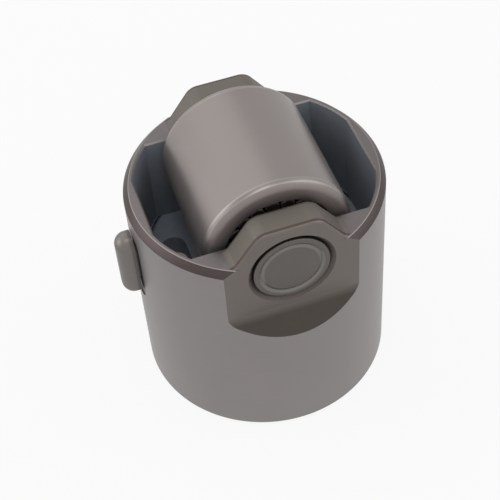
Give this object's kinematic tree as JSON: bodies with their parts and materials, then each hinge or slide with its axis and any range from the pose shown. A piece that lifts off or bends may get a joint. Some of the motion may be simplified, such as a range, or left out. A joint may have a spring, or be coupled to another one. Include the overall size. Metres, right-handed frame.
{
  "type": "roller tappet",
  "caption": "Cylindrical valve lifter: a roller on needles turns on a staked pin between lugs, with a guide key on its side and a plunger pad inside its skirt.",
  "frame": {"origin": "centre of the thrust plate's pad, where the pump plunger pushes, on the sleeve's axis", "axes": "+Z along the sleeve's axis, up to the roller; Y along the roller's axis; -X towards the guide key"},
  "size_m": [0.0332, 0.031, 0.0358],
  "materials": {
    "housing": "formed and hardened steel, satin",
    "roller": "ground bearing steel",
    "pin": "ground steel, ends staked",
    "needles": "polished bearing steel",
    "thrust_plate": "hardened steel, dark",
    "guide_key": "formed steel, satin"
  },
  "bodies": {
    "tappet_body": {"housing": "housing", "pin": "pin", "thrust_plate": "thrust_plate", "guide_key": "guide_key"},
    "roller": {"roller": "roller"},
    "needle_set": {"needle_01": "needles", "needle_02": "needles", "needle_03": "needles", "needle_04": "needles", "needle_05": "needles", "needle_06": "needles", "needle_07": "needles", "needle_08": "needles", "needle_09": "needles", "needle_10": "needles", "needle_11": "needles", "needle_12": "needles", "needle_13": "needles", "needle_14": "needles", "needle_15": "needles", "needle_16": "needles", "needle_17": "needles", "needle_18": "needles", "needle_19": "needles"}
  },
  "joints": [
    {"name": "roller_spin", "type": "hinge", "parent": "tappet_body", "child": "roller", "pos_m": [0, 0, 0.01375], "axis": [0, 1, 0], "continuous": true},
    {"name": "needle_orbit", "type": "hinge", "parent": "tappet_body", "child": "needle_set", "pos_m": [0, 0, 0.01375], "axis": [0, 1, 0], "continuous": true}
  ],
  "couplings": [
    {"joint": "needle_orbit", "follows": "roller_spin", "ratio": 0.5837}
  ]
}
